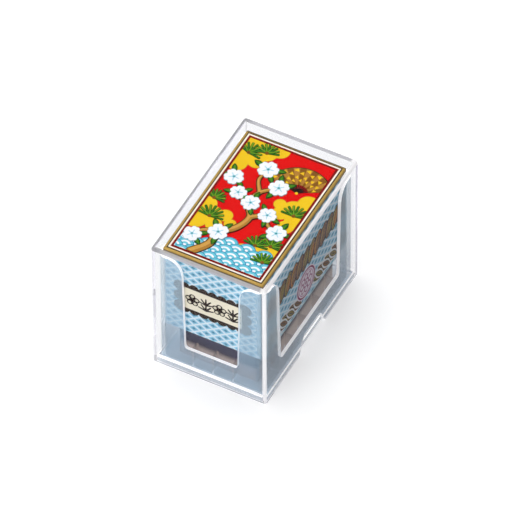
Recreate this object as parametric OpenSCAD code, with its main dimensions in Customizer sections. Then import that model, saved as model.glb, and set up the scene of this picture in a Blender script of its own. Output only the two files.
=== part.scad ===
// Flower-card deck in a two-part plastic case.
// A clear cover, open below, slips over a frosted tray. The tray carries the
// paper-wrapped deck on a hollow plinth, and a gold-edged label card lies on top.
// X runs across the short end, Y along the long side, Z up from the table.

/* [Cards] */
// Length of one card
card_l = 54; // [50:0.5:60]
// Width of one card
card_w = 33; // [30:0.5:36]
// Thickness of one card, its raised rim included
card_t = 0.64; // [0.5:0.01:0.8]
// Radius of a card's corners
card_corner_r = 1.2; // [0.6:0.1:2.5]
// Width of the backing paper that is folded over onto a card's face
card_rim_w = 1.3; // [0.6:0.1:2.5]
// Height of that folded rim above the face
card_rim_h = 0.06; // [0.02:0.01:0.12]

/* [Wrapper] */
// Thickness of the wrapping paper
paper_t = 0.12; // [0.08:0.01:0.2]
// Play between the cards and the paper around them
wrap_play = 0.08; // [0.04:0.01:0.2]
// Radius inside the wrapper's four upright folds
wrap_fold_r = 0.4; // [0.1:0.1:0.6]
// Depth of the flaps folded in from the short ends
end_flap_l = 17; // [8:0.5:22]
// How far each flap draws in at its free corners
flap_slant = 6; // [3:0.5:8]
// How far the two long flaps lie over each other
flap_lap = 5; // [2:0.5:10]
// Width of the glued lap up the middle of the back end
seam_w = 6; // [3:0.5:12]

/* [Pasted labels] */
// Thickness of the pasted paper labels
sticker_t = 0.08; // [0.05:0.01:0.12]
// Width of the wrapper left bare on each side of the dark title plate
title_margin = 3.2; // [1.5:0.1:4]
// Height of the dark title plate
title_plate_h = 13.5; // [11:0.5:16]
// Width of the dark border on each side of the cream strip
title_border_w = 3.35; // [2.5:0.05:5]
// Height of the dark border above and below the cream strip
title_border_h = 2.15; // [1.5:0.05:3]
// Height of the title's centre above the wrapper's underside
title_rise = 15.5; // [10:0.5:20]
// Diameter of the round seal on the long side
seal_d = 12.4; // [8:0.1:16]
// Height of the seal's centre above the wrapper's underside
seal_rise = 8.5; // [8:0.5:20]

/* [Top label] */
// How far the gold-edged label card reaches past the deck on each long side
label_over_side = 0.6; // [0.2:0.05:1.2]
// How far the label card reaches past the deck at each end
label_over_end = 0.5; // [0.2:0.05:1]
// Thickness of the label's board
label_t = 1.2; // [0.8:0.1:1.5]
// Radius of the board's rolled edges
label_edge_r = 0.4; // [0.2:0.1:0.6]
// Gold border left around the printed sheet
label_border = 0.85; // [0.6:0.05:2]
// Thickness of the printed sheet
print_t = 0.1; // [0.05:0.01:0.15]

/* [Tray] */
// Wall of the tray and its plinth
tray_wall = 1.2; // [0.9:0.1:1.5]
// Play between the wrapped deck and the tray on each side
deck_play = 0.4; // [0.2:0.1:0.8]
// Radius of the tray's outer upright corners
tray_corner_r = 2.5; // [2:0.1:3.5]
// Height of the plinth that carries the deck
plinth_h = 16.2; // [13:0.2:20]
// How far the plinth stands back from the tray's inner face
plinth_back = 3.3; // [2:0.1:4.5]
// Thickness of the tray's floor
floor_t = 1.5; // [1:0.1:2]
// How far the tray's rim ends below the top of the deck
rim_drop = 0.3; // [0.1:0.1:1]
// Height of the flange round the tray's foot
flange_h = 2.2; // [1.6:0.1:3]

/* [Windows] */
// Width of the corner posts beside the end windows, halfway up
end_post_w = 8.7; // [7:0.1:10]
// Width of the corner posts beside the side windows, halfway up
side_post_w = 8.7; // [7:0.1:10]
// How much wider the end windows are at the rim than at the sill
end_window_flare = 1.6; // [0.4:0.1:2]
// How much longer the side windows are at the rim than at the sill
side_window_flare = 2.6; // [0.4:0.1:3]
// Height of the window sills above the table
sill_z = 9.6; // [7:0.2:11]
// Radius of the sill's corners
sill_r = 1.2; // [0.6:0.1:2]
// Radius of the rounded shoulders at the rim
shoulder_r = 5.5; // [2:0.5:6]

/* [Ribs] */
// Thickness of the ribs between plinth and wall
rib_t = 0.8; // [0.5:0.1:1.2]
// Spacing of the ribs behind the end walls
end_rib_pitch = 7; // [5:0.5:8]
// Spacing of the ribs behind the side walls
side_rib_pitch = 9; // [7:0.5:10]
// How far the ribs end below the sills
rib_drop = 0.8; // [0.4:0.1:2]

/* [Cover] */
// Wall of the clear cover
cover_wall = 1.2; // [0.9:0.1:1.6]
// Play between the cover and each of the tray's long side walls
side_play = 0.4; // [0.3:0.1:1.4]
// Play between the cover and each of the tray's end walls
end_play = 0.9; // [0.6:0.1:1.4]
// Play between the cover and the tray's flange on each side
flange_play = 0.15; // [0.08:0.01:0.3]
// Free height between the label and the cover's ceiling
head_room = 1.1; // [0.6:0.1:4]
// Radius of the cover's outer edges
cover_edge_r = 1; // [0.6:0.1:1.8]
// Radius inside the cover's corners
cover_inner_r = 0.5; // [0.3:0.1:0.8]

/* [Finger notches] */
// Width of a notch at the cover's lower edge, its flared ends included
notch_w = 18.6; // [14:0.2:24]
// Height of a notch
notch_h = 6.7; // [4:0.1:9]
// Radius of a notch's upper corners
notch_r = 3; // [2:0.1:3.8]
// Radius of the flared ends at the lower edge
notch_flare_r = 1.2; // [0.6:0.1:2]
// Lean of a notch's sides, in degrees from upright
notch_lean = 22; // [10:1:30]

/* [Hidden] */
// The twelve flower suits, four cards of each
SUITS = ["pine", "plum", "cherry", "wisteria", "iris", "peony", "clover",
         "pampas", "chrysanthemum", "maple", "willow", "paulownia"];
suit_size = 4;
CARDS = concat([for (suit = SUITS) for (k = [1:suit_size]) str("card_", suit, "_", k)],
               ["card_spare"]);

// The deck, from one card outwards
flap_layers = 3;
flap_stack = flap_layers * paper_t;
fold_root = paper_t / 2;
stack_h = len(CARDS) * card_t;
inside_w = card_w + 2 * wrap_play;
inside_l = card_l + 2 * wrap_play;
deck_w = inside_w + 2 * paper_t;
deck_l = inside_l + 2 * paper_t;
deck_h = stack_h + 2 * flap_stack;
deck_z = plinth_h;
deck_top = deck_z + deck_h;

// The labels on the deck
title_plate_w = deck_w - 2 * title_margin;
title_strip_w = title_plate_w - 2 * title_border_w;
title_strip_h = title_plate_h - 2 * title_border_h;
label_w = deck_w + 2 * label_over_side;
label_l = deck_l + 2 * label_over_end;

// The tray around the deck
well_w = deck_w + 2 * deck_play;
well_l = deck_l + 2 * deck_play;
tray_w = well_w + 2 * tray_wall;
tray_l = well_l + 2 * tray_wall;
rim_z = deck_top - rim_drop;
end_window_w = tray_w - 2 * end_post_w;
side_window_w = tray_l - 2 * side_post_w;
plinth_w = well_w - 2 * plinth_back;
plinth_l = well_l - 2 * plinth_back;
plinth_r = tray_corner_r - tray_wall;
rib_top = sill_z - rib_drop;
end_ribs = 3;
side_ribs = 5;

// The cover around the tray
room_w = tray_w + 2 * side_play;
room_l = tray_l + 2 * end_play;
cover_w = room_w + 2 * cover_wall;
cover_l = room_l + 2 * cover_wall;
room_h = deck_top + label_t + print_t + head_room;
cover_h = room_h + cover_wall;
flange_w = room_w - 2 * flange_play;
flange_l = room_l - 2 * flange_play;
flange_r = cover_inner_r + flange_play;

// Scallops of the title plate: three at each end, seven along each edge
end_scallops = 3;
edge_scallops = 7;
end_scallop_r = title_plate_h / (2 * end_scallops);
edge_bulge_share = 0.35;

// Overrun of every cut past the faces it opens, and the fineness of curves
cut = 1;
$fn = 48;

// Flat rectangle with round corners, centred
module rounded_rect(w, l, r) {
    square([w - 2 * r, l], center = true);
    square([w, l - 2 * r], center = true);
    for (x = [-1, 1], y = [-1, 1])
        translate([x * (w / 2 - r), y * (l / 2 - r)]) circle(r);
}

// Slab with round upright corners, standing on z
module slab(w, l, h, r, z = 0) {
    translate([0, 0, z]) linear_extrude(h) rounded_rect(w, l, r);
}

// Block with round upright edges and a round top edge, flat below
module soft_block(w, l, h, r) {
    slab(w, l, h - r, r);
    translate([0, 0, h - r]) {
        linear_extrude(r) square([w - 2 * r, l - 2 * r], center = true);
        for (x = [-1, 1])
            translate([x * (w / 2 - r), 0, 0]) rotate([90, 0, 0])
                cylinder(h = l - 2 * r, r = r, center = true);
        for (y = [-1, 1])
            translate([0, y * (l / 2 - r), 0]) rotate([0, 90, 0])
                cylinder(h = w - 2 * r, r = r, center = true);
        for (x = [-1, 1], y = [-1, 1])
            translate([x * (w / 2 - r), y * (l / 2 - r), 0]) sphere(r);
    }
}

// Stands a flat outline up on the end wall at y = -at, facing -Y
module on_end(at, depth) {
    translate([0, -at, 0]) rotate([90, 0, 0]) linear_extrude(depth) children();
}

// Stands a flat outline up on the side wall at x = at, facing +X
module on_side(at, depth) {
    translate([at, 0, 0]) rotate([90, 0, 90]) linear_extrude(depth) children();
}

// Outline of a window: leaning jambs, round sill corners, round shoulders at the rim
module window_outline(w, flare) {
    half_low = (w - flare / 2) / 2;
    half_high = (w + flare / 2) / 2;
    polygon([[-half_low + sill_r, sill_z], [half_low - sill_r, sill_z],
             [half_low, sill_z + sill_r], [half_high, rim_z + cut],
             [-half_high, rim_z + cut], [-half_low, sill_z + sill_r]]);
    for (x = [-1, 1])
        translate([x * (half_low - sill_r), sill_z + sill_r]) circle(sill_r);
    difference() {
        translate([-half_high - shoulder_r, rim_z - shoulder_r])
            square([2 * (half_high + shoulder_r), shoulder_r + cut]);
        for (x = [-1, 1])
            translate([x * (half_high + shoulder_r), rim_z - shoulder_r]) circle(shoulder_r);
    }
}

// Outline of a finger notch: flat top, round corners, leaning sides, flared ends
module notch_outline() {
    c = cos(notch_lean);
    s = sin(notch_lean);
    end_x = notch_w / 2;
    foot_x = end_x - notch_flare_r * (1 - s) / c;
    top_x = foot_x - ((notch_h - notch_r) * s + notch_r) / c;
    heel = [end_x - notch_flare_r * c, notch_flare_r * (1 - s)];
    shoulder = [top_x + notch_r * c, notch_h - notch_r * (1 - s)];
    difference() {
        polygon([[-end_x, -cut], [end_x, -cut], [end_x, 0], heel, shoulder,
                 [top_x, notch_h], [-top_x, notch_h], [-shoulder[0], shoulder[1]],
                 [-heel[0], heel[1]], [-end_x, 0]]);
        for (x = [-1, 1])
            translate([x * end_x, notch_flare_r]) circle(notch_flare_r);
    }
    for (x = [-1, 1])
        translate([x * top_x, notch_h - notch_r]) circle(notch_r);
}

// Clear cover, open below, with a finger notch in each long side
module cover() {
    color([0.93, 0.95, 0.98, 0.3]) difference() {
        soft_block(cover_w, cover_l, cover_h, cover_edge_r);
        slab(room_w, room_l, room_h + cut, cover_inner_r, -cut);
        on_side(-cover_w / 2 - cut, cover_w + 2 * cut) notch_outline();
    }
}

// Frosted tray: flange, windowed walls, hollow plinth and the ribs between them
module tray() {
    color([0.66, 0.75, 0.86, 0.7]) {
        difference() {
            union() {
                slab(flange_w, flange_l, flange_h, flange_r);
                slab(tray_w, tray_l, rim_z, tray_corner_r);
            }
            slab(well_w, well_l, rim_z, tray_corner_r - tray_wall, floor_t);
            on_end(-tray_l / 2 - cut, tray_l + 2 * cut)
                window_outline(end_window_w, end_window_flare);
            on_side(-tray_w / 2 - cut, tray_w + 2 * cut)
                window_outline(side_window_w, side_window_flare);
            slab(plinth_w - 2 * tray_wall, plinth_l - 2 * tray_wall, floor_t + 2 * cut,
                 plinth_r, -cut);
        }
        difference() {
            slab(plinth_w, plinth_l, plinth_h, plinth_r);
            slab(plinth_w - 2 * tray_wall, plinth_l - 2 * tray_wall,
                 plinth_h - tray_wall + cut, plinth_r, -cut);
        }
        ribs();
    }
}

// Upright ribs that tie the plinth to the walls, below the sills
module ribs() {
    for (side = [-1, 1], i = [0:end_ribs - 1])
        translate([(i - (end_ribs - 1) / 2) * end_rib_pitch,
                   side * (plinth_l / 2 + plinth_back / 2), rib_top / 2])
            cube([rib_t, plinth_back + tray_wall, rib_top], center = true);
    for (side = [-1, 1], i = [0:side_ribs - 1])
        translate([side * (plinth_w / 2 + plinth_back / 2),
                   (i - (side_ribs - 1) / 2) * side_rib_pitch, rib_top / 2])
            cube([plinth_back + tray_wall, rib_t, rib_top], center = true);
}

// Board of the top label, with rolled gold edges
module label_board() {
    color("goldenrod") translate([0, 0, deck_top])
        soft_block(label_w, label_l, label_t, label_edge_r);
}

// Printed sheet pasted on the board
module label_print() {
    color("crimson") translate([0, 0, deck_top + label_t])
        linear_extrude(print_t)
            square([label_w - 2 * label_border, label_l - 2 * label_border], center = true);
}

// One flap folded in from a wall, rooted in that wall and drawn in at its free corners
module flap(wall_l, depth) {
    half = wall_l / 2 - wrap_fold_r;
    polygon([[-half, -fold_root], [half, -fold_root], [half, 0], [half - flap_slant, depth],
             [-half + flap_slant, depth], [-half, 0]]);
}

// The folded closure at one end of the wrapper, its innermost layer at z = 0
module closure() {
    long_flap = inside_w / 2 + flap_lap / 2;
    for (turn = [0, 180])
        rotate(turn) translate([0, -inside_l / 2, 0])
            linear_extrude(paper_t) flap(inside_w, end_flap_l);
    for (side = [0, 1])
        translate([0, 0, (side + 1) * paper_t]) rotate(90 + side * 180)
            translate([0, -inside_w / 2, 0])
                linear_extrude(paper_t) flap(inside_l, long_flap);
}

// Paper wrapper: four walls, folded closures above and below, a glued lap on the back end
module wrapper() {
    color("lightskyblue") {
        difference() {
            slab(deck_w, deck_l, deck_h, wrap_fold_r + paper_t, deck_z);
            slab(inside_w, inside_l, deck_h + 2 * cut, wrap_fold_r, deck_z - cut);
        }
        translate([0, 0, deck_top - flap_stack]) closure();
        translate([0, 0, deck_z + flap_stack]) mirror([0, 0, 1]) closure();
        translate([-seam_w / 2, deck_l / 2 - fold_root, deck_z])
            cube([seam_w, fold_root + paper_t, deck_h]);
    }
}

// Outline of the title plate, scalloped all round
module title_outline() {
    core_w = title_plate_w - 2 * end_scallop_r;
    pitch = core_w / edge_scallops;
    bulge = pitch * edge_bulge_share;
    arc_r = (pitch * pitch / 4 + bulge * bulge) / (2 * bulge);
    square([core_w, title_plate_h - 2 * bulge], center = true);
    for (x = [-1, 1], i = [0:end_scallops - 1])
        translate([x * core_w / 2, (2 * i + 1 - end_scallops) * end_scallop_r])
            circle(end_scallop_r);
    for (y = [-1, 1], i = [0:edge_scallops - 1])
        translate([(i - (edge_scallops - 1) / 2) * pitch, y * (title_plate_h / 2 - arc_r)])
            circle(arc_r);
}

// Dark scalloped plate pasted on the front end of the wrapper
module title_plate() {
    color("saddlebrown") on_end(deck_l / 2, sticker_t)
        translate([0, deck_z + title_rise]) title_outline();
}

// Cream strip pasted on the title plate
module title_strip() {
    color("cornsilk") on_end(deck_l / 2 + sticker_t, sticker_t)
        translate([0, deck_z + title_rise])
            square([title_strip_w, title_strip_h], center = true);
}

// Round seal pasted on the long side of the wrapper
module side_seal() {
    color("mediumvioletred") on_side(deck_w / 2, sticker_t)
        translate([0, deck_z + seal_rise]) circle(d = seal_d);
}

// One card: a plate with the backing paper folded over onto its face as a raised rim
module card(i) {
    z = deck_z + flap_stack + i * card_t;
    plate_t = card_t - card_rim_h;
    color(i % 2 == 0 ? "white" : "dimgray") {
        slab(card_w, card_l, plate_t, card_corner_r, z);
        difference() {
            slab(card_w, card_l, card_t, card_corner_r, z);
            translate([0, 0, z + plate_t]) linear_extrude(card_rim_h + cut)
                square([card_w - 2 * card_rim_w, card_l - 2 * card_rim_w], center = true);
        }
    }
}

cover();
tray();
label_board();
label_print();
wrapper();
title_plate();
title_strip();
side_seal();
for (i = [0:len(CARDS) - 1])
    card(i);
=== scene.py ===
"""Looks of the flower-card deck in its plastic case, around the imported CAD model.

Everything stands in the CAD's own frame: +X across, +Y along the long side, +Z up. Blender
gets metres. Materials and drawings count in millimetres, and a drawing lies on its face as
thin closed sheets of ink, one level above another.
"""
import bmesh
import bpy
import math
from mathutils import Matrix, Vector

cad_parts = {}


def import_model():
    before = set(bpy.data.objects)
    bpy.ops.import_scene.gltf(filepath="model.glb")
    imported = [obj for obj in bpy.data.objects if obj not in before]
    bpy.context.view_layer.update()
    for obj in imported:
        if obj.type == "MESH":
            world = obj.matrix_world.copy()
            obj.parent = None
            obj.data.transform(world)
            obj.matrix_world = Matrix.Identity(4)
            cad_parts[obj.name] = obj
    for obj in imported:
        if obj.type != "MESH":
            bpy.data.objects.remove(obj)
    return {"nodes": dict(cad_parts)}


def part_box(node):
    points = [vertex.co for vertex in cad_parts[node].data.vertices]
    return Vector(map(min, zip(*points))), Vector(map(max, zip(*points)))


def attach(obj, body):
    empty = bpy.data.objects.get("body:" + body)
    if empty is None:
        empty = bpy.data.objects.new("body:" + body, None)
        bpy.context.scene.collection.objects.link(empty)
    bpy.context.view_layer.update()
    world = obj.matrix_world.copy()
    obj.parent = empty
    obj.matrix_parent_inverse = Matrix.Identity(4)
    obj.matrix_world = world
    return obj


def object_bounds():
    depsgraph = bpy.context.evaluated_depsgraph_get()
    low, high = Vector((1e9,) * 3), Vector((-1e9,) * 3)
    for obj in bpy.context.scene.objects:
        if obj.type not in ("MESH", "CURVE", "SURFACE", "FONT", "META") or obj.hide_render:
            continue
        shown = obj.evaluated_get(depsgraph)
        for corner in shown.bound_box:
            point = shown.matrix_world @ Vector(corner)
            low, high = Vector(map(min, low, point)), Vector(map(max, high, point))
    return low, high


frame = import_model()
cad_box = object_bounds()
MM = 0.001

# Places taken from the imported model, in millimetres
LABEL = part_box("label_print")
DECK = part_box("wrapper")
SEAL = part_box("side_seal")
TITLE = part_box("title_strip")
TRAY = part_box("tray")
label_top = LABEL[1].z / MM
sheet_half = (LABEL[1].x / MM, LABEL[1].y / MM)
deck_side = DECK[1].x / MM
deck_low = DECK[0].z / MM
seal_z = (SEAL[0].z + SEAL[1].z) / 2 / MM
title_face = TITLE[0].y / MM
title_z = (TITLE[0].z + TITLE[1].z) / 2 / MM
rim_z = TRAY[1].z / MM

# Rise from one level of ink to the next
INK = 0.002

# Colours of the inks, linear
RED = (0.7, 0.002, 0.001)
YELLOW = (0.84, 0.55, 0.012)
WHITE = (0.88, 0.9, 0.9)
CYAN = (0.14, 0.56, 0.68)
DEEP_BLUE = (0.0, 0.2, 0.38)
PALE_CYAN = (0.6, 0.8, 0.83)
SHADE_CYAN = (0.36, 0.66, 0.76)
PETAL_LINE = (0.34, 0.5, 0.56)
TEAL = (0.06, 0.3, 0.33)
LEAF = (0.045, 0.2, 0.008)
DARK_LEAF = (0.006, 0.05, 0.008)
LIME = (0.16, 0.36, 0.012)
OCHRE = (0.42, 0.2, 0.03)
LIT_OCHRE = (0.62, 0.34, 0.07)
BROWN = (0.22, 0.088, 0.01)
UMBER = (0.24, 0.1, 0.035)
OLIVE = (0.26, 0.18, 0.012)
RUST = (0.46, 0.16, 0.012)
GLINT = (0.5, 0.3, 0.06)
DARK = (0.02, 0.008, 0.005)
CREAM = (0.82, 0.77, 0.58)


# Looks of the plastics --------------------------------------------------------------------
# A place given as a pair is where a soft step starts and where it ends, in millimetres. The
# photograph's lamps can't be known, so what they do to edges and walls goes by their places.

POLYSTYRENE_IOR = 1.59

# How much of its mirroring the cover keeps, because the photograph's faces barely mirror the
# table, and from which share of mirroring it keeps all
GLOSS_SHARE = 0.12
TOTAL_MIRROR = (0.5, 1.0)

# Tint of the cover's glass: on its top, on its near and its far walls, where it mirrors, and
# in the lamps' light. The near walls are darker and the far walls clearer, a painted
# difference in brightness by side. Then where a wall starts to be far
GLASS_TOP = (0.955, 0.955, 0.962)
GLASS_NEAR = (0.928, 0.928, 0.938)
GLASS_FAR = (0.966, 0.966, 0.968)
GLASS_MIRROR = (0.992, 0.991, 0.996)
GLASS_TO_LAMPS = (0.95, 0.95, 0.965)
FAR_LEFT, FAR_BACK = (-18.0, -15.0), (26.0, 29.0)

# Painted highlight on the edges of the cover that catch the light: its colour and glow,
# the edges' places, and how much of it shows on the lower rim, on the notch and on the
# upright corners
EDGE_PAINTED_HIGHLIGHT = ((0.62, 0.62, 0.64), (0.36, 0.36, 0.37))
RIM_BELOW = (7.6, 8.0)
NOTCH_FROM, NOTCH_TO = (18.6, 18.75), (25, 26)
CORNER_X, CORNER_Y = (19.0, 19.25), (30.0, 30.25)
RIM_SHARE, NOTCH_SHARE, CORNER_SHARE = 0.45, 0.8, 0.5

# Border of the cover's top, painted in place of the light seen in the walls' thickness: its
# grey colour and glow in general, painted shade on the left and a painted highlight on the
# lit right, its places, and how much of it shows
BORDER = ((0.34, 0.34, 0.35), (0.1, 0.1, 0.105))
BORDER_PAINTED_SHADE = ((0.17, 0.17, 0.175), (0.06, 0.06, 0.064))
BORDER_PAINTED_HIGHLIGHT = ((0.68, 0.67, 0.66), (0.36, 0.35, 0.35))
BORDER_X, BORDER_Y = (18.85, 19.05), (29.75, 29.95)
BORDER_LEFT, BORDER_BACK = (-18.9, -18.6), (28.95, 29.15)
BORDER_ABOVE = (50.7, 50.9)
LIT_FROM = (17.5, 18.5)
BORDER_SHARE = 0.75

# The tray's walls: colours low and high, each at two strengths of its clouds, darker low
# as painted shade; their painted glow, for light scattered in the plastic, on the end walls
# and on the side walls, and how solid those two look
WALL_LOW = ((0.2, 0.35, 0.46), (0.26, 0.41, 0.53))
WALL_HIGH = ((0.53, 0.68, 0.76), (0.61, 0.76, 0.83))
WALL_RISE = (10.0, 23.0)
WALL_PAINTED_GLOW = ((0.055, 0.085, 0.115), (0.03, 0.03, 0.03))
VEIL = (0.31, 0.4)

# What stands inside the walls: its colour and its painted glow, low and high, dark high up
# as painted shade under the deck and lighter low down, and how solid it looks
INSIDE = ((0.52, 0.43, 0.39), (0.06, 0.055, 0.1))
INSIDE_PAINTED_GLOW = ((0.085, 0.065, 0.055), (0.0, 0.0, 0.0))
INSIDE_RISE = (6.0, 8.8)
INSIDE_HALF = (16.95, 27.45)
INSIDE_SOLID = 0.85

# The ribs between plinth and walls barely show
PLINTH_X, PLINTH_Y = (13.85, 13.9), (24.35, 24.4)
RIBS_ABOVE = (1.3, 1.6)
RIBS_SOLID = 0.15

# Bright cut edges of the windows, of the rim and of the flange's ledge, white with a painted
# glow: their colour and glow, the walls they lie in, how far from the middle the windows
# reach, the sill and the ledge
CUT_EDGE, CUT_PAINTED_GLOW = (0.95, 0.94, 0.93), (0.5, 0.48, 0.47)
SIDE_WALL, END_WALL = (17.16, 18.24), (27.66, 28.74)
WINDOW_REACH = (15.9, 26.4)
SILL_Z = 9.6
LEDGE = (1.75, 2.3)
LEDGE_X, LEDGE_Y = (18.24, 18.28), (28.74, 28.78)

# The flange's outer face: its colour and its places
FLANGE = (0.54, 0.55, 0.58)
FLANGE_BELOW = (1.7, 1.75)
FLANGE_X, FLANGE_Y = (18.36, 18.42), (28.86, 28.92)


# Looks of paper and board -----------------------------------------------------------------

# Specular level of printed paper, where a plain surface has 0.5
PRINT_SHINE = 0.04

# Gold board: a light and a darker mottled tone, painted shade on the lower half of its sides,
# and painted shade along its back edge
GOLD = ((0.42, 0.26, 0.04), (0.15, 0.09, 0.008))
SIDE_PAINTED_SHADE, SIDE_SHADE_BELOW = (0.05, 0.03, 0.012), (48.8, 49.0)
SHADED_BACK, BACK_EDGE, BACK_SHARE = (0.03, 0.022, 0.015), (27.0, 27.15), 0.85

# Bands of the printed sheet from its dark edge inwards, and half sizes of the red field
CREAM_BAND, CREAM_FROM = (0.86, 0.78, 0.66), (0.3, 0.38)
DARK_RED, DARK_RED_FROM = (0.2, 0.006, 0.004), (0.86, 0.92)
FIELD_FROM = (1.66, 1.72)
FIELD = (sheet_half[0] - 1.69, sheet_half[1] - 1.69)

# Lattice: width and height of a diamond, and its colours from the heart to the line
LATTICE = (4.45, 3.1)
LATTICE_HEART, LATTICE_BLUE, LATTICE_LINE = (0.09, 0.27, 0.4), (0.3, 0.62, 0.79), (0.78, 0.89, 0.94)
BLUE_FROM, LINE_FROM = (0.2, 0.5), (0.66, 0.9)

# Seal: the rosette's radius, how far its lobes go in and out, and how many there are
ROSETTE_R, LOBE, LOBES = 3.7, 0.45, 8
SEAL_PAPER, SEAL_INK = (0.88, 0.79, 0.86), (0.3, 0.01, 0.13)
THIN_RING, BOLD_RING = (0.45, 0.1, 0.28), (0.26, 0.006, 0.09)

# Pasted papers: colour, colour of the flecks, and how strongly those show
PLATE_PAPER = ((0.03, 0.02, 0.016), (0.12, 0.07, 0.04), 0.7)
STRIP_PAPER = ((0.93, 0.87, 0.68), (0.7, 0.65, 0.5), 0.3)

# Cards: half sizes of the ivory face inside the black rim, and two tones of each
CARD_FACE = (15.2, 25.7)
IVORY = ((0.76, 0.72, 0.6), (0.84, 0.81, 0.7))
CARD_RIM = ((0.012, 0.012, 0.013), (0.035, 0.033, 0.03))


# Node materials ---------------------------------------------------------------------------

class Shader:
    """Builds one node material. A number, a colour or another node's output feeds any input.

    A mask is 1 where something is, and 0 where it isn't.
    """

    def __init__(self, name):
        self.material = bpy.data.materials.new(name)
        self.material.use_nodes = True
        self.tree = self.material.node_tree
        self.tree.nodes.clear()
        self.output = self.tree.nodes.new("ShaderNodeOutputMaterial")
        self.places = None

    def feed(self, socket, value):
        if isinstance(value, bpy.types.NodeSocket):
            self.tree.links.new(value, socket)
        elif isinstance(value, tuple) and len(value) == 3 and socket.type == "RGBA":
            socket.default_value = (*value, 1)
        else:
            socket.default_value = value

    def node(self, kind, inputs, **settings):
        made = self.tree.nodes.new("ShaderNode" + kind)
        for key, value in settings.items():
            setattr(made, key, value)
        for key, value in inputs.items():
            self.feed(made.inputs[key], value)
        return made

    def math(self, operation, *values):
        return self.node("Math", dict(enumerate(values)), operation=operation).outputs[0]

    def inverse(self, mask):
        return self.math("SUBTRACT", 1, mask)

    def both(self, first, *others):
        """The product of masks or shares."""
        for other in others:
            first = self.math("MULTIPLY", first, other)
        return first

    def either(self, first, *others):
        """The largest of masks or shares."""
        for other in others:
            first = self.math("MAXIMUM", first, other)
        return first

    def between(self, mask, low, high):
        """A number that goes from low to high with the mask."""
        sockets = isinstance(low, bpy.types.NodeSocket) or isinstance(high, bpy.types.NodeSocket)
        rise = self.math("SUBTRACT", high, low) if sockets else high - low
        return self.math("MULTIPLY_ADD", mask, rise, low)

    def step(self, value, low, high):
        """A mask: 0 below low, 1 above high, smooth between."""
        inputs = {"Value": value, "From Min": low, "From Max": high}
        return self.node("MapRange", inputs, interpolation_type="SMOOTHSTEP").outputs[0]

    def below(self, value, limit, soft=0.03):
        return self.inverse(self.step(value, limit - soft, limit + soft))

    def within(self, value, low, high, soft=0.03):
        return self.both(self.step(value, low - soft, low + soft), self.below(value, high, soft))

    def mix(self, mask, first, second):
        """A colour that goes from first to second with the mask."""
        inputs = {0: mask, 6: first, 7: second}
        return self.node("Mix", inputs, data_type="RGBA").outputs[2]

    def blend(self, mask, first, second):
        """A surface that goes from first to second with the mask."""
        return self.node("MixShader", {0: mask, 1: first, 2: second}).outputs[0]

    def point(self):
        """The point's x, y and z."""
        if self.places is None:
            place = self.node("TexCoord", {}).outputs["Object"]
            scaled = self.node("VectorMath", {0: place, 3: 1 / MM}, operation="SCALE").outputs[0]
            self.places = (scaled, *self.node("SeparateXYZ", {0: scaled}).outputs)
        return self.places[1:]

    def from_middle(self):
        """How far the point is from the middle, across and along."""
        x, y, _ = self.point()
        return self.math("ABSOLUTE", x), self.math("ABSOLUTE", y)

    def facing(self):
        """How much the surface faces along X, Y and Z, without sign."""
        normal = self.node("TexCoord", {}).outputs["Normal"]
        parts = self.node("SeparateXYZ", {0: normal}).outputs
        return [self.math("ABSOLUTE", part) for part in parts]

    def noise(self, scale, detail=3, roughness=0.5):
        """Noise with scale features per millimetre, from 0 to 1."""
        self.point()
        inputs = {"Vector": self.places[0], "Scale": scale, "Detail": detail,
                  "Roughness": roughness}
        return self.node("TexNoise", inputs).outputs[0]

    def bump(self, height, depth):
        inputs = {"Height": height, "Distance": depth * MM, "Strength": 1.0}
        return self.node("Bump", inputs).outputs[0]

    def glowing(self, colour, glow, roughness):
        """A surface that gives off a little light of its own: a painted glow."""
        inputs = {"Base Color": colour, "Roughness": roughness,
                  "Emission Color": glow, "Emission Strength": 1.0}
        return self.node("BsdfPrincipled", inputs).outputs[0]

    def surface(self, made):
        self.feed(self.output.inputs["Surface"], made)
        return self.material

    def finish(self, **inputs):
        """A Principled surface with these inputs, named with underscores for spaces."""
        named = {key.replace("_", " "): value for key, value in inputs.items()}
        return self.surface(self.node("BsdfPrincipled", named).outputs[0])


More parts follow.
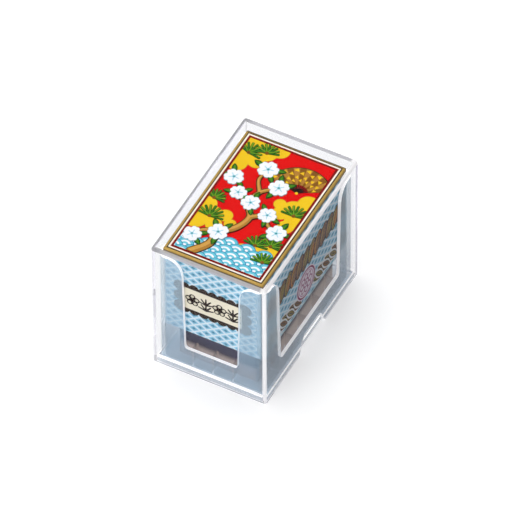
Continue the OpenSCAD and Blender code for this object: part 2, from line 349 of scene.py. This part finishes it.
def clear_plastic():
    """Clear polished polystyrene: glass to the eye, open to the lamps' light, with painted
    highlights and shade.
    """
    s = Shader("clear_polystyrene")
    x, y, z = s.point()
    across, along = s.from_middle()
    facing_x, _, facing_z = s.facing()

    # Glass with little mirroring, clearer on the far walls and darker on the near ones: painted
    # brightness by side
    waves = s.bump(s.noise(0.06, 1), 0.03)
    mirrored = s.node("Fresnel", {"IOR": POLYSTYRENE_IOR, "Normal": waves}).outputs[0]
    share = s.either(s.step(mirrored, *TOTAL_MIRROR), s.both(mirrored, GLOSS_SHARE))
    upright = s.inverse(s.step(facing_z, 0.5, 0.9))
    at_left = s.inverse(s.step(x, *FAR_LEFT))
    far = s.either(at_left, s.step(y, *FAR_BACK))
    tint = s.mix(upright, GLASS_TOP, s.mix(far, GLASS_NEAR, GLASS_FAR))
    bent = s.node("BsdfRefraction", {"Color": tint, "Roughness": 0.0, "IOR": POLYSTYRENE_IOR,
                                     "Normal": waves}).outputs[0]
    gloss = s.node("BsdfGlossy", {"Color": GLASS_MIRROR, "Roughness": 0.0,
                                  "Normal": waves}).outputs[0]
    body = s.blend(share, bent, gloss)

    # Painted highlight: the lower rim, the notch and the sharp corners catch the light, painted
    # as a pale glowing surface
    sideways = s.inverse(s.step(facing_x, 0.4, 0.7))
    in_wall = s.both(s.step(across, *NOTCH_FROM), s.inverse(s.step(along, *NOTCH_TO)))
    notch = s.both(sideways, in_wall)
    low = s.inverse(s.step(z, *RIM_BELOW))
    rim = s.both(low, s.either(notch, s.step(facing_z, 0.5, 0.8)))
    corner = s.both(s.step(across, *CORNER_X), s.step(along, *CORNER_Y))
    painted_highlight = s.either(s.both(rim, s.between(notch, RIM_SHARE, NOTCH_SHARE)),
                      s.both(corner, CORNER_SHARE))
    body = s.blend(painted_highlight, body, s.glowing(*EDGE_PAINTED_HIGHLIGHT, 0.5))

    # Painted border on the top, over the walls' thickness: grey, with painted shade on the left
    # and a painted highlight on the lit right
    painted_border = s.either(s.step(across, *BORDER_X), s.step(along, *BORDER_Y),
                      s.inverse(s.step(x, *BORDER_LEFT)), s.step(y, *BORDER_BACK))
    painted_border = s.both(painted_border, s.step(z, *BORDER_ABOVE), BORDER_SHARE)
    lit = s.step(x, *LIT_FROM)
    colour, glow = [s.mix(lit, s.mix(at_left, *pair), bright)
                    for *pair, bright in zip(BORDER, BORDER_PAINTED_SHADE, BORDER_PAINTED_HIGHLIGHT)]
    body = s.blend(painted_border, body, s.glowing(colour, glow, 0.4))

    shadow = s.node("LightPath", {}).outputs["Is Shadow Ray"]
    clear = s.node("BsdfTransparent", {"Color": GLASS_TO_LAMPS}).outputs[0]
    return s.surface(s.blend(shadow, body, clear))


def frosted_plastic():
    """Blue-white frosted polystyrene: white cut edges with a painted glow, and painted shade on the
    plinth under the deck.
    """
    s = Shader("frosted_polystyrene")
    _, _, z = s.point()
    across, along = s.from_middle()
    facing_x = s.facing()[0]

    # Bright edges, white with a painted glow: round the windows, along the rim and on the flange's
    # ledge
    side_cut = s.both(s.within(across, *SIDE_WALL), s.below(along, WINDOW_REACH[1]))
    end_cut = s.both(s.within(along, *END_WALL), s.below(across, WINDOW_REACH[0]))
    cut = s.both(s.either(side_cut, end_cut), s.within(z, SILL_Z - 0.1, rim_z + 1))
    ledge = s.both(s.within(z, *LEDGE),
                   s.either(s.step(across, *LEDGE_X), s.step(along, *LEDGE_Y)))
    edge = s.either(cut, s.step(z, rim_z - 0.08, rim_z - 0.02), ledge)

    # What stands inside the walls: the plinth, and the ribs beyond it
    inside = s.both(s.below(across, INSIDE_HALF[0]), s.below(along, INSIDE_HALF[1]),
                    s.within(z, 0.2, deck_low - 0.15))
    beyond = s.either(s.step(across, *PLINTH_X), s.step(along, *PLINTH_Y))
    rib = s.both(inside, beyond, s.step(z, *RIBS_ABOVE))

    # Colour: the walls darker low down, as painted shade
    cloud = s.noise(0.35, 3, 0.6)
    body = s.mix(s.step(z, *WALL_RISE), s.mix(cloud, *WALL_LOW), s.mix(cloud, *WALL_HIGH))
    flange = s.both(s.inverse(s.step(z, *FLANGE_BELOW)),
                    s.either(s.step(across, *FLANGE_X), s.step(along, *FLANGE_Y)))
    body = s.mix(flange, body, FLANGE)
    height = s.step(z, *INSIDE_RISE)
    # Painted shade: what stands inside the walls is dark under the deck and lighter low down
    colour = s.mix(edge, s.mix(inside, body, s.mix(height, *INSIDE)), CUT_EDGE)
    # Painted glow: on the walls, stronger on the end walls, on what stands inside, and on the cut
    # edges
    glow = s.mix(inside, s.mix(facing_x, *WALL_PAINTED_GLOW), s.mix(height, *INSIDE_PAINTED_GLOW))
    glow = s.mix(edge, glow, CUT_PAINTED_GLOW)

    # How solid it looks
    veil = s.between(facing_x, *VEIL)
    alpha = s.either(s.between(edge, veil, 1), s.both(inside, INSIDE_SOLID))
    alpha = s.both(alpha, s.between(rib, 1, RIBS_SOLID))
    return s.finish(Base_Color=colour, Roughness=0.4, IOR=POLYSTYRENE_IOR, Alpha=alpha,
                    Specular_IOR_Level=0.2, Emission_Strength=1.0, Emission_Color=glow,
                    Normal=s.bump(s.noise(14, 4, 0.7), 0.012))


def gold_board():
    """Board covered with gold-coloured paper, mottled darker on its upright faces, with painted
    shade low on its sides and along its back edge.
    """
    s = Shader("gold_board")
    _, y, z = s.point()
    _, _, facing_up = s.facing()
    dark_mottle = s.both(s.noise(1.5, 4, 0.65), s.math("SUBTRACT", 1.15, facing_up))
    colour = s.mix(dark_mottle, *GOLD)
    # Painted shade on the lower half of the sides
    under = s.both(s.inverse(s.step(z, *SIDE_SHADE_BELOW)), s.inverse(facing_up))
    colour = s.mix(under, colour, SIDE_PAINTED_SHADE)
    # Painted shade along the back edge
    colour = s.mix(s.both(s.step(y, *BACK_EDGE), BACK_SHARE), colour, SHADED_BACK)
    return s.finish(Base_Color=colour, Metallic=0.3, Roughness=0.4,
                    Normal=s.bump(s.noise(6), 0.01))


def printed(s, colour, height, depth, roughness=0.5):
    """Ink on paper: almost no gloss, and the paper's own tooth."""
    return s.finish(Base_Color=colour, Roughness=roughness, Specular_IOR_Level=PRINT_SHINE,
                    Normal=s.bump(height, depth))


def label_sheet():
    """The printed sheet: a dark line, a cream band and a dark red band round a red field."""
    s = Shader("label_sheet")
    inward = s.math("MINIMUM", *[s.math("SUBTRACT", half, away)
                                 for half, away in zip(sheet_half, s.from_middle())])
    field = s.mix(s.noise(2.0, 4, 0.7), RED, tuple(0.85 * c for c in RED))
    colour = DARK
    for start, tone in ((CREAM_FROM, CREAM_BAND), (DARK_RED_FROM, DARK_RED), (FIELD_FROM, field)):
        colour = s.mix(s.step(inward, *start), colour, tone)
    return printed(s, colour, s.noise(9), 0.004, 0.45)


def lattice_paper():
    """Wrapping paper printed with a lattice: white lines round light-blue diamonds."""
    s = Shader("lattice_paper")
    x, y, z = s.point()
    facing_x, _, facing_z = s.facing()
    run = s.between(s.step(facing_x, 0.6, 0.8), x, y)
    rise = s.between(s.step(facing_z, 0.6, 0.8), z, y)
    run, rise = s.math("DIVIDE", run, LATTICE[0]), s.math("DIVIDE", rise, LATTICE[1])
    ways = [s.math("ADD", run, rise), s.math("SUBTRACT", run, rise)]
    from_line = [s.math("ABSOLUTE", s.math("SUBTRACT", s.math("FRACT", way), 0.5))
                 for way in ways]
    outward = s.math("MULTIPLY", 2, s.either(*from_line))
    outward = s.math("ADD", outward, s.between(s.noise(3, 3), -0.08, 0.08))
    colour = s.mix(s.step(outward, *BLUE_FROM), LATTICE_HEART, LATTICE_BLUE)
    colour = s.mix(s.step(outward, *LINE_FROM), colour, LATTICE_LINE)
    return printed(s, colour, s.noise(8, 4, 0.7), 0.01)


def seal_paper():
    """Round white seal with a magenta rosette inside a thin ring and a bold one."""
    s = Shader("seal_paper")
    _, y, z = s.point()
    up = s.math("SUBTRACT", z, seal_z)
    radius = s.math("SQRT", s.math("ADD", s.math("POWER", y, 2), s.math("POWER", up, 2)))
    turn = s.math("ARCTAN2", up, y)
    wave = s.math("MULTIPLY", s.math("COSINE", s.math("MULTIPLY", turn, LOBES)), LOBE)
    inward = s.math("SUBTRACT", s.math("ADD", ROSETTE_R, wave), radius)
    spoke = s.math("ABSOLUTE", s.math("COSINE", s.math("MULTIPLY", turn, LOBES / 2)))
    spoke = s.both(s.inverse(s.step(spoke, 0.4, 0.65)), s.step(radius, 1.2, 1.3),
                   s.step(inward, 0.0, 0.1))
    lines = s.either(spoke, s.within(inward, 0.0, 0.55, 0.08), s.below(radius, 0.7, 0.08),
                     s.within(radius, 1.3, 1.8, 0.08))
    worn = s.between(s.noise(2.2, 3, 0.7), 0.6, 1.1)
    colour = s.mix(s.both(lines, worn), SEAL_PAPER, SEAL_INK)
    colour = s.mix(s.within(radius, 4.4, 4.65, 0.08), colour, THIN_RING)
    colour = s.mix(s.within(radius, 5.15, 5.8, 0.08), colour, BOLD_RING)
    return printed(s, colour, s.noise(8), 0.006)


def pasted_paper(name, colour, fleck, strength):
    """Plain pasted paper with flecks of another colour."""
    s = Shader(name)
    flecks = s.both(s.step(s.noise(3.2, 5, 0.8), 0.45, 0.75), strength)
    return printed(s, s.mix(flecks, colour, fleck), s.noise(8, 4, 0.7), 0.01, 0.6)


def card_stock():
    """Stiff card: an ivory face inside a black rim and back."""
    s = Shader("card_stock")
    across, along = s.from_middle()
    _, _, facing_up = s.facing()
    face = s.both(s.below(across, CARD_FACE[0], 0.02), s.below(along, CARD_FACE[1], 0.02),
                  facing_up)
    fibres = s.noise(5, 4, 0.7)
    colour = s.mix(face, s.mix(s.noise(2, 3), *CARD_RIM), s.mix(fibres, *IVORY))
    return s.finish(Base_Color=colour, Roughness=0.45, Normal=s.bump(fibres, 0.01))


def ink(name, colour):
    """Printed ink on paper: a colour with a faint mottle and a slight tooth."""
    s = Shader(name)
    darker = tuple(0.84 * c for c in colour)
    return printed(s, s.mix(s.noise(2.5, 4, 0.7), darker, colour), s.noise(9), 0.004, 0.45)


# Outlines ---------------------------------------------------------------------------------

def polar(x, y, reach, a):
    """The point at this reach from x, y in the direction a, in radians."""
    return x + reach * math.cos(a), y + reach * math.sin(a)


def turned(x, y, points, turn):
    """Points turned by degrees about the origin and then moved to x, y."""
    c, s = math.cos(math.radians(turn)), math.sin(math.radians(turn))
    return [(x + px * c - py * s, y + px * s + py * c) for px, py in points]


def oval(x, y, rx, ry, turn=0.0, sides=24):
    """Outline of an ellipse, turned by degrees."""
    angles = [2 * math.pi * k / sides for k in range(sides)]
    return turned(x, y, [(rx * math.cos(a), ry * math.sin(a)) for a in angles], turn)


def disc(x, y, r, sides=24):
    return oval(x, y, r, r, 0, sides)


def box(x0, y0, x1, y1):
    return [(x0, y0), (x1, y0), (x1, y1), (x0, y1)]


def lens(x, y, length, width, turn, sides=12):
    """Outline of a leaf from its foot at x, y, pointed at both ends."""
    side = [(k / sides, math.sin(math.pi * k / sides) ** 0.8) for k in range(sides + 1)]
    points = [(length * t, width / 2 * w) for t, w in side]
    points += [(length * t, -width / 2 * w) for t, w in reversed(side[1:-1])]
    return turned(x, y, points, turn)


def stroke(points, widths):
    """Convex pieces of a line through points, with a width at each."""
    shapes = []
    for (x0, y0), (x1, y1), w0, w1 in zip(points, points[1:], widths, widths[1:]):
        run = math.hypot(x1 - x0, y1 - y0)
        nx, ny = -(y1 - y0) / run / 2, (x1 - x0) / run / 2
        shapes.append([(x0 + nx * w0, y0 + ny * w0), (x0 - nx * w0, y0 - ny * w0),
                       (x1 - nx * w1, y1 - ny * w1), (x1 + nx * w1, y1 + ny * w1)])
    shapes += [disc(x, y, w / 2, 14) for (x, y), w in zip(points, widths)]
    return shapes


def curve(points, steps=6):
    """A smooth line through points."""
    ends = [points[0], *points, points[-1]]
    made = []
    for a, b, c, d in zip(ends, ends[1:], ends[2:], ends[3:]):
        for k in range(steps):
            t = k / steps
            made.append(tuple(
                0.5 * (2 * q + (r - p) * t + (2 * p - 5 * q + 4 * r - s) * t * t
                       + (3 * q - p - 3 * r + s) * t ** 3)
                for p, q, r, s in zip(a, b, c, d)))
    return made + [points[-1]]


def clipped(outline, half):
    """The part of a convex outline inside a rectangle of half sizes."""
    for axis in (0, 1):
        for sign in (-1, 1):
            limit, kept = half[axis], []
            for p, q in zip(outline, outline[1:] + outline[:1]):
                dp, dq = limit - sign * p[axis], limit - sign * q[axis]
                if dp >= 0:
                    kept.append(p)
                if dp * dq < 0:
                    t = dp / (dp - dq)
                    kept.append((p[0] + t * (q[0] - p[0]), p[1] + t * (q[1] - p[1])))
            outline = kept
            if len(outline) < 3:
                return []
    return outline


# Drawings ---------------------------------------------------------------------------------

class Drawing:
    """Flat convex shapes printed on a face of the model in layers, as one object."""

    def __init__(self, name, place, body, slot, half=None):
        self.name, self.place, self.body, self.slot, self.half = name, place, body, slot, half
        self.shapes, self.colours = [], []

    def add(self, layer, colour, *outlines):
        if colour not in self.colours:
            self.colours.append(colour)
        for outline in outlines:
            if self.half:
                outline = clipped(outline, self.half)
            if outline:
                self.shapes.append((layer, self.colours.index(colour), outline))

    def heights(self, lift):
        """Each shape's height: later layers higher, and no two that overlap at one height."""
        made = [0.0] * len(self.shapes)
        for layer in sorted({shape[0] for shape in self.shapes}):
            placed = []
            for number, (own, _, outline) in enumerate(self.shapes):
                if own == layer:
                    (x0, x1), (y0, y1) = [(min(axis), max(axis)) for axis in zip(*outline)]
                    taken = {level for level, a0, a1, b0, b1 in placed
                             if a0 <= x1 and x0 <= a1 and b0 <= y1 and y0 <= b1}
                    level = min(set(range(1, len(taken) + 2)) - taken)
                    placed.append((level, x0, x1, y0, y1))
                    made[number] = lift + level * INK
            lift += max(entry[0] for entry in placed) * INK
        return made, lift

    def build(self, materials, lift=0.0):
        """Makes the object from this height above its face, and returns where it ends."""
        heights, top = self.heights(lift)
        mesh = bpy.data.meshes.new(self.name)
        bm = bmesh.new()
        for (_, index, outline), height in zip(self.shapes, heights):
            low = [bm.verts.new(self.place(x, y, 0) * MM) for x, y in outline]
            high = [bm.verts.new(self.place(x, y, height) * MM) for x, y in outline]
            faces = [bm.faces.new(high), bm.faces.new(low[::-1])]
            faces += [bm.faces.new((low[k - 1], low[k], high[k], high[k - 1]))
                      for k in range(len(outline))]
            for face in faces:
                face.material_index = index
        bmesh.ops.recalc_face_normals(bm, faces=bm.faces)
        bm.to_mesh(mesh)
        bm.free()
        made = bpy.data.objects.new(self.name, mesh)
        for colour in self.colours:
            mesh.materials.append(materials[colour])
        bpy.context.scene.collection.objects.link(made)
        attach(made, self.body)
        return top


def on_label(x, y, w):
    return Vector((x, y, label_top + w))


def on_right(x, y, w):
    return Vector((deck_side + w, x, y))


def on_left(x, y, w):
    return Vector((-deck_side - w, -x, y))


def on_title(x, y, w):
    return Vector((x, title_face - w, title_z + y))


def label_drawing(name):
    return Drawing(name, on_label, "label", "label_print", FIELD)


def clouds():
    """Yellow lobed mist banks on the red field."""
    d = label_drawing("label_clouds")
    # x, y and radius of each lobe
    banks = [
        [(-14, 24, 4.2), (-12, 19, 4.6), (-7.5, 22, 3.8), (-4, 24.5, 3.2), (-13.5, 14, 3.2),
         (-8.5, 17, 2.6)],
        [(14, 8.5, 3.4), (11, 4.5, 3.6), (14, 0.5, 3.8), (8, 1.5, 2.6), (6.2, 4.8, 2.0),
         (12, -3, 2.6)],
        [(-14, -5.5, 3.4), (-10.5, -8.5, 3.4), (-14, -12, 3.8), (-6.5, -7.2, 2.4),
         (-8, -12, 2.6), (-3.6, -9.6, 1.9)],
        [(4.5, -17.5, 2.6), (8.5, -15.5, 2.8), (12.5, -13.8, 3.0), (1, -20, 2.6)],
    ]
    outline = 0.13
    for bank in banks:
        d.add(0, OCHRE, *[disc(x, y, r + outline, 32) for x, y, r in bank])
        d.add(1, YELLOW, *[disc(x, y, r, 32) for x, y, r in bank])
    return d


def waves():
    """Rows of overlapping wave scales across the foot of the sheet."""
    d = label_drawing("label_waves")
    r, first_row, row_rise = 3.0, -14.0, 1.6
    rings = ((1.0, DEEP_BLUE), (0.92, CYAN), (0.66, WHITE), (0.44, CYAN), (0.2, WHITE))
    for row in range(9):
        y = first_row - row * row_rise
        for k in range(-6, 7):
            x = (2 * k + row % 2) * r
            shore = -18.6 + 3.0 * math.sin(x * 0.16 + 0.5)
            if y < shore:
                for n, (share, colour) in enumerate(rings):
                    d.add(2 + row * 0.5 + n * 0.08, colour, disc(x, y, r * share, 28))
    return d


def fan():
    """An open folding fan with a pattern of triangles, and its ribs."""
    d = label_drawing("label_fan")
    x, y, inner, outer = 8.6, 11.0, 3.6, 10.6
    blades, start, end = 12, 30, 168
    for k in range(blades):
        a0, a1 = [math.radians(start + (end - start) * n / blades) for n in (k, k + 1)]
        d.add(5, OCHRE if k % 2 else BROWN,
              [polar(x, y, r, a) for r, a in ((inner, a0), (outer, a0), (outer, a1), (inner, a1))])
        middle = (a0 + a1) / 2
        d.add(4, DARK, *stroke([(x, y), polar(x, y, inner, middle)], [0.3, 0.36]))
        for r in (4.6, 7.6):
            r += 1.3 if k % 2 else 0
            d.add(6, YELLOW, [polar(x, y, q, a) for q, a in (
                (r, middle - 0.08), (r + 1.5, middle - 0.05), (r + 0.8, middle + 0.1))])
    d.add(3, DARK, *[disc(*polar(x, y, outer, math.radians(t)), 0.3, 8)
                     for t in range(start, end + 1, 2)])
    d.add(6, YELLOW, disc(x, y, 0.5, 12))
    return d


def branch():
    """A gold branch with a dark rim that winds up the middle of the sheet."""
    d = label_drawing("label_branch")
    # Points of each limb, and its width at each
    limbs = [
        ([(-9, -25), (-5.5, -20), (-5, -14.5), (-1, -10), (0.5, -4.5), (-2.5, 0.5), (-1.5, 6),
          (2.2, 9.5)],
         [2.8, 2.6, 2.3, 2.1, 1.9, 1.7, 1.4, 1.0]),
        ([(0.5, -4.5), (4.5, -2.0), (7.0, -5.0), (10.5, -6.5)], [1.8, 1.4, 1.1, 0.8]),
        ([(-2.5, 0.5), (-6.5, 2.0), (-8.8, 6.5), (-11.5, 8.0)], [1.6, 1.3, 1.0, 0.7]),
        ([(-1.5, 6), (-4.2, 10.5), (-3.6, 14.5)], [1.3, 1.0, 0.7]),
        ([(-5, -14.5), (-9.5, -15.5), (-12, -18.5)], [1.8, 1.3, 0.8]),
    ]
    rim = 0.55
    for points, widths in limbs:
        path = curve([(*p, w) for p, w in zip(points, widths)])
        line, width = [(x, y) for x, y, _ in path], [w for _, _, w in path]
        d.add(9, DARK, *stroke(line, [w + rim for w in width]))
        d.add(10, OCHRE, *stroke(line, width))
        lit = [(x - 0.12 * w, y + 0.12 * w) for (x, y), w in zip(line, width)]
        d.add(11, LIT_OCHRE, *stroke(lit, [0.45 * w for w in width]))
    return d


def leaf(d, layer, x, y, length, turn):
    """A green leaf in three layers: its dark outline, its blade and its vein."""
    d.add(layer, DARK_LEAF, lens(x, y, length * 1.08, length * 0.52, turn))
    d.add(layer + 1, LEAF, lens(x, y, length * 0.98, length * 0.34, turn))
    tip = polar(x, y, length * 0.8, math.radians(turn))
    d.add(layer + 2, LIME, *stroke([(x, y), tip], [0.16, 0.08]))


def blossoms():
    """White five-petalled blossoms with pale shading, and the leaves behind them."""
    d = label_drawing("label_blossoms")
    # x, y, size and turn of each
    flowers = [(-3.6, 15.6, 3.3, 10), (2.9, 10.2, 3.2, 40), (-11.6, 8.2, 3.1, 65),
               (-7.4, 3.0, 2.7, 20), (10.9, -6.8, 3.2, 30), (5.0, -1.4, 2.9, 0),
               (-2.0, 0.9, 3.0, 55), (-12.0, -18.6, 3.0, 15), (-5.2, -14.3, 3.2, 48)]
    lobe_turn = 0.22
    for x, y, size, turn in flowers:
        for k, bend in enumerate((-38, 20, 75)):
            out = turn * 3 + k * 125 + bend * 0.4
            leaf(d, 12, *polar(x, y, size * 0.55, math.radians(out)), size * 1.15, out)
        d.add(16, WHITE, disc(x, y, size * 0.5))
        for k in range(5):
            a = math.radians(turn + 72 * k)
            for side in (-1, 1):
                b = a + side * lobe_turn
                lobe = polar(x, y, size * 0.6, b)
                d.add(15, PETAL_LINE, oval(*lobe, size * 0.45, size * 0.34, math.degrees(b)))
                d.add(16, WHITE, oval(*lobe, size * 0.42, size * 0.31, math.degrees(b)))
            d.add(17, SHADE_CYAN, oval(*polar(x, y, size * 0.34, a), size * 0.24, size * 0.055,
                                       math.degrees(a)))
        d.add(18, SHADE_CYAN, disc(x, y, size * 0.2, 14))
        d.add(19, TEAL, disc(x, y, size * 0.12, 12))
    return d


def pine():
    """Green pine tufts: half rounds of needles on a dark ground."""
    d = label_drawing("label_pine")
    # x, y, size and turn of each
    tufts = [(-10.8, -9.5, 4.2, 90), (-12.4, 19.3, 4.0, 75), (-7.2, 21.6, 3.6, 100),
             (12.2, 2.2, 4.0, 95), (7.4, -14.0, 3.8, 90), (11.8, -12.2, 3.6, 80),
             (12.6, -19.2, 3.6, 100), (-13.0, -2.2, 3.4, 80)]
    for x, y, size, turn in tufts:
        for k in range(9):
            needle = [(x, y), polar(x, y, size, math.radians(turn - 84 + 21 * k))]
            d.add(7, DARK_LEAF, *stroke(needle, [0.7, 0.85]))
            d.add(8, LIME if k % 2 else LEAF, *stroke(needle, [0.3, 0.5]))
        d.add(8.5, BROWN, disc(x, y, 0.6, 12))
    return d


def side_bands(name, place):
    """The wrapper's printed bands on a long side: a twisted cord above, leaf crests below."""
    d = Drawing(name, place, "deck", "wrapping_paper", (26.9, 60))
    half = 26.6

    cord_z, cord_half, pitch, lean = 35.7, 4.2, 3.9, -20
    count = int(half / pitch)
    core = cord_half - 0.7
    d.add(0, DARK, box(-half, cord_z - core, half, cord_z + core))
    tones = (BROWN, OLIVE, RUST, UMBER)
    for k in range(-count, count + 1):
        # Layer, tone, place in the strand, half width, half height past the cord's, sides
        strand = (
            (1, DARK, 0.0, 0.0, 2.25, 0.55, 32),
            (2, tones[k % 4], 0.0, 0.0, 1.75, 0.1, 32),
            (3, DARK, 0.45, -0.3, 1.15, -0.8, 28),
            (4, tones[(k + 1) % 4], 0.4, -0.2, 0.85, -1.15, 28),
            (5, GLINT, -0.95, 0.4, 0.24, -1.5, 16),
        )
        for layer, tone, x, z, rx, past, sides in strand:
            d.add(layer, tone,
                  oval(k * pitch + x, cord_z + z, rx, cord_half + past, lean, sides))

    d.add(0, PALE_CYAN, box(-half, deck_low + 0.15, half, deck_low + 0.5))
    pitch, lean = 4.7, -42
    for k in range(-6, 6):
        x = k * pitch + 1.6
        if place is on_right and -3.5 < x < 4.5:
            # The seal covers these
            continue
        for n, (shift, lift, size) in enumerate(((0.0, 0.0, 1.0), (2.3, -1.3, 0.74))):
            layer = 6 + 4 * (k % 2) + 8 * n
            foot = (x + shift - 3.7 * size, deck_low + 8.1 + lift)
            # Tone, place in the leaf, length and width
            parts = (
                (WHITE, 0.0, 0.0, 10.2, 4.6),
                (DARK, 0.5, -0.45, 8.9, 2.9),
                (OLIVE if k % 2 else BROWN, 0.9, -0.8, 7.5, 2.2),
                (DARK, 1.4, -1.25, 6.0, 0.5),
            )
            for m, (tone, dx, dz, length, width) in enumerate(parts):
                d.add(layer + m, tone,
                      lens(foot[0] + dx, foot[1] + dz, length * size, width * size, lean))
    return d


def title_ornaments():
    """Four generic brush-black ornaments on the cream strip: blossoms and pine sprigs."""
    d = Drawing("title_ornaments", on_title, "deck", "cream_paper")
    for n, x in enumerate((-7.0, -2.3, 2.4, 7.1)):
        if n % 2 == 0:
            for k in range(5):
                a = math.radians(90 + 72 * k)
                d.add(0, DARK, disc(*polar(x, 0, 1.45, a), 1.1, 24))
                d.add(1, CREAM, disc(*polar(x, 0, 1.6, a), 0.56, 20))
                tip = polar(x, 0, 1.2, a + math.radians(36))
                d.add(2, DARK, *stroke([(x, 0), tip], [0.3, 0.2]))
            d.add(2, DARK, disc(x, 0, 0.5, 16))
        else:
            for y in (-2.6, -0.1):
                for t in (14, 52, 90, 128, 166):
                    tip = polar(x, y, 2.6, math.radians(t))
                    d.add(0, DARK, *stroke([(x, y), tip], [0.75, 0.5]))
    return d


# Stage ------------------------------------------------------------------------------------

FLOOR_REACH, FLOOR_DROP = 3.0, 0.0001
FLOOR_TONES, FLOOR_GLOW = ((0.85, 0.85, 0.855), (0.87, 0.87, 0.87)), 0.34
HORIZON, OVERHEAD, WORLD_STRENGTH = (0.55, 0.55, 0.58, 1), (1, 1, 1, 1), 0.45

# Each lamp's name, place, width and height in metres, and power in watts. All face the origin
LAMPS = (
    ("key", (-0.45, 0.3, 2.35), (1.8, 1.8), 31),
    ("front_fill", (-0.8, -2.2, 0.6), (1.6, 0.9), 20),
)

# The photograph's view: its direction in degrees, its scale, and how far the object's middle
# sits from the frame's middle
AZIMUTH, ELEVATION, ROLL = 28.09, 48.09, 0.37
FRAME_PX, PX_PER_MM = 524, 3.24
VIEW_ANGLE = 3.0
SHIFT = (0.0128, -0.0035)
SENSOR_MM = 36

# Bounces of light that it takes to see through the walls of cover and tray
BOUNCES, VEIL_BOUNCES = 96, 32


def area_light(name, place, size, power):
    lamp = bpy.data.lights.new(name, "AREA")
    lamp.shape, lamp.size, lamp.size_y = "RECTANGLE", *size
    lamp.energy = power
    made = bpy.data.objects.new(name, lamp)
    made.location = place
    made.rotation_euler = (-Vector(place)).to_track_quat("-Z", "Y").to_euler()
    bpy.context.scene.collection.objects.link(made)


def floor():
    """A plain pale floor that glows a little, so that it stays white beside the case."""
    mesh = bpy.data.meshes.new("floor")
    r = FLOOR_REACH
    mesh.from_pydata([(-r, -r, 0), (r, -r, 0), (r, r, 0), (-r, r, 0)], [], [(0, 1, 2, 3)])
    made = bpy.data.objects.new("floor", mesh)
    made.location.z = -FLOOR_DROP
    s = Shader("floor_white")
    tone = s.mix(s.noise(0.02, 2), *FLOOR_TONES)
    mesh.materials.append(s.finish(Base_Color=tone, Roughness=0.9, Specular_IOR_Level=0.0,
                                   Emission_Color=(1.0, 1.0, 1.0), Emission_Strength=FLOOR_GLOW))
    bpy.context.scene.collection.objects.link(made)


def world():
    """Soft grey-to-white surroundings: bright overhead, grey towards the horizon."""
    made = bpy.data.worlds.new("studio")
    made.use_nodes = True
    nodes, links = made.node_tree.nodes, made.node_tree.links
    nodes.clear()
    place = nodes.new("ShaderNodeTexCoord")
    parts = nodes.new("ShaderNodeSeparateXYZ")
    ramp = nodes.new("ShaderNodeValToRGB")
    light = nodes.new("ShaderNodeBackground")
    out = nodes.new("ShaderNodeOutputWorld")
    links.new(place.outputs["Generated"], parts.inputs[0])
    links.new(parts.outputs["Z"], ramp.inputs["Fac"])
    stops = ramp.color_ramp.elements
    stops[0].position, stops[0].color = 0.0, HORIZON
    stops[1].position, stops[1].color = 0.9, OVERHEAD
    links.new(ramp.outputs["Color"], light.inputs["Color"])
    light.inputs["Strength"].default_value = WORLD_STRENGTH
    links.new(light.outputs[0], out.inputs[0])
    bpy.context.scene.world = made


def camera():
    """The photograph's camera: a long lens at the solved direction, aimed at the middle."""
    eye = bpy.data.cameras.new("camera")
    half_spread = math.tan(math.radians(VIEW_ANGLE / 2))
    eye.sensor_width = SENSOR_MM
    eye.lens = SENSOR_MM / 2 / half_spread
    eye.shift_x, eye.shift_y = SHIFT
    eye.clip_start, eye.clip_end = 0.1, 20
    distance = FRAME_PX / PX_PER_MM * MM / 2 / half_spread
    a, e = math.radians(AZIMUTH), math.radians(ELEVATION)
    back = Vector((math.sin(a) * math.cos(e), -math.cos(a) * math.cos(e), math.sin(e)))
    made = bpy.data.objects.new("camera", eye)
    made.location = (cad_box[0] + cad_box[1]) / 2 + back * distance
    turn = (-back).to_track_quat("-Z", "Y").to_euler()
    turn.rotate_axis("Z", math.radians(-ROLL))
    made.rotation_euler = turn
    bpy.context.scene.collection.objects.link(made)
    bpy.context.scene.camera = made


# Assembly ---------------------------------------------------------------------------------

def dress():
    """Gives every CAD node its material."""
    card = card_stock()
    looks = {
        "cover": clear_plastic(), "tray": frosted_plastic(), "label_board": gold_board(),
        "label_print": label_sheet(), "wrapper": lattice_paper(), "side_seal": seal_paper(),
        "title_plate": pasted_paper("title_plate_paper", *PLATE_PAPER),
        "title_strip": pasted_paper("title_strip_paper", *STRIP_PAPER),
    }
    for name, node in frame["nodes"].items():
        node.material_slots[0].material = looks.get(name, card)


def draw():
    """Builds the drawings. Those on the label lie on each other, the others on their faces."""
    inks = {}
    drawings = [clouds(), waves(), fan(), pine(), branch(), blossoms(),
                side_bands("right_bands", on_right), side_bands("left_bands", on_left),
                title_ornaments()]
    lift = 0.0
    for drawing in drawings:
        for colour in drawing.colours:
            if colour not in inks:
                inks[colour] = ink(f"ink_{len(inks)}", colour)
        lift = drawing.build(inks, lift if drawing.body == "label" else 0.0)


dress()
draw()
floor()
world()
for lamp in LAMPS:
    area_light(*lamp)
camera()
bpy.context.scene.view_settings.view_transform = "Standard"
bpy.context.scene.cycles.max_bounces = BOUNCES
bpy.context.scene.cycles.transmission_bounces = BOUNCES
bpy.context.scene.cycles.glossy_bounces = BOUNCES
bpy.context.scene.cycles.transparent_max_bounces = VEIL_BOUNCES
